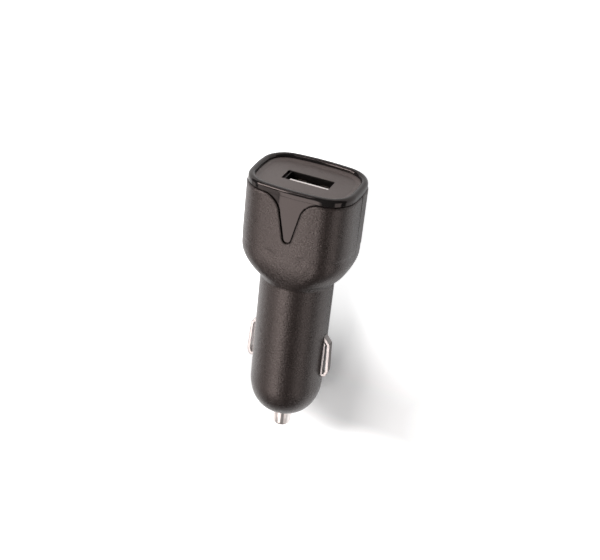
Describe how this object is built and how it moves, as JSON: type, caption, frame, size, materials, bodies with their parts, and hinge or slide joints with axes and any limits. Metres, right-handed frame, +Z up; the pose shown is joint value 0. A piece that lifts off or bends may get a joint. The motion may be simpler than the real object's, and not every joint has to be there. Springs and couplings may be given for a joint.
{
  "type": "car usb charger plug",
  "caption": "Vehicle socket charger: matte dark body with an oblong head and round barrel, gloss crown with a tongue, one USB port, sprung side contacts and a sprung tip pin.",
  "frame": {"origin": "centre of the footprint, on the ground that the back of the head lies on", "axes": "+Y along the plug towards its port, +Z up through the front that carries the tongue, X across through the side contacts"},
  "size_m": [0.031, 0.0806, 0.024],
  "materials": {
    "shell_plastic": "fine moulded texture, matte",
    "crown_plastic": "piano black, high gloss",
    "panel_plastic": "fine moulded texture, matte",
    "port_steel": "dark nickel plate",
    "insulator_plastic": "smooth moulded",
    "blade_metal": "gold flash",
    "board_laminate": "solder mask over woven laminate",
    "tip_metal": "nickel plate, polished",
    "spring_steel": "drawn wire",
    "seat_brass": "stamped",
    "contact_metal": "nickel plate, rolled strip",
    "leaf_metal": "rolled strip",
    "ferrite": "sintered ferrite",
    "copper_winding": "enamelled wire",
    "can_aluminium": "drawn can",
    "base_plastic": "moulded",
    "chip_plastic": "moulded package",
    "lead_metal": "tinned",
    "fuse_ceramic": "ceramic tube",
    "resistor_body": "coated alumina chip",
    "ceramic_body": "ceramic chip"
  },
  "bodies": {
    "housing": {"front_shell": "shell_plastic", "back_shell": "shell_plastic", "crown_trim": "crown_plastic", "port_panel": "panel_plastic", "usb_shell": "port_steel", "usb_insulator": "insulator_plastic", "usb_contact_1": "blade_metal", "usb_contact_2": "blade_metal", "usb_contact_3": "blade_metal", "usb_contact_4": "blade_metal", "circuit_board": "board_laminate", "tip_spring": "spring_steel", "spring_seat": "seat_brass", "left_ground_leaf": "leaf_metal", "right_ground_leaf": "leaf_metal", "inductor_core": "ferrite", "inductor_winding": "copper_winding", "input_capacitor": "can_aluminium", "output_capacitor": "can_aluminium", "input_capacitor_base": "base_plastic", "output_capacitor_base": "base_plastic", "converter_chip": "chip_plastic", "rectifier_diode": "chip_plastic", "converter_leads": "lead_metal", "diode_terminals": "lead_metal", "fuse_caps": "lead_metal", "input_fuse": "fuse_ceramic", "chip_resistor_1": "resistor_body", "chip_resistor_2": "resistor_body", "chip_resistor_3": "resistor_body", "chip_resistor_4": "resistor_body", "ceramic_capacitor_1": "ceramic_body", "ceramic_capacitor_2": "ceramic_body", "ceramic_capacitor_3": "ceramic_body"},
    "tip": {"tip_pin": "tip_metal"},
    "left_side": {"left_contact": "contact_metal"},
    "right_side": {"right_contact": "contact_metal"}
  },
  "joints": [
    {"name": "tip_slide", "type": "slide", "parent": "housing", "child": "tip", "axis": [0, 1, 0], "range_m": [0, 0.0035], "stiffness_N_per_m": 600, "springref_m": -0.004, "deforming": ["tip_spring"]},
    {"name": "left_contact_slide", "type": "slide", "parent": "housing", "child": "left_side", "axis": [1, 0, 0], "range_m": [0, 0.00205], "stiffness_N_per_m": 600, "springref_m": -0.001, "deforming": ["left_ground_leaf"]},
    {"name": "right_contact_slide", "type": "slide", "parent": "housing", "child": "right_side", "axis": [-1, 0, 0], "range_m": [0, 0.00205], "stiffness_N_per_m": 600, "springref_m": -0.001, "deforming": ["right_ground_leaf"]}
  ]
}
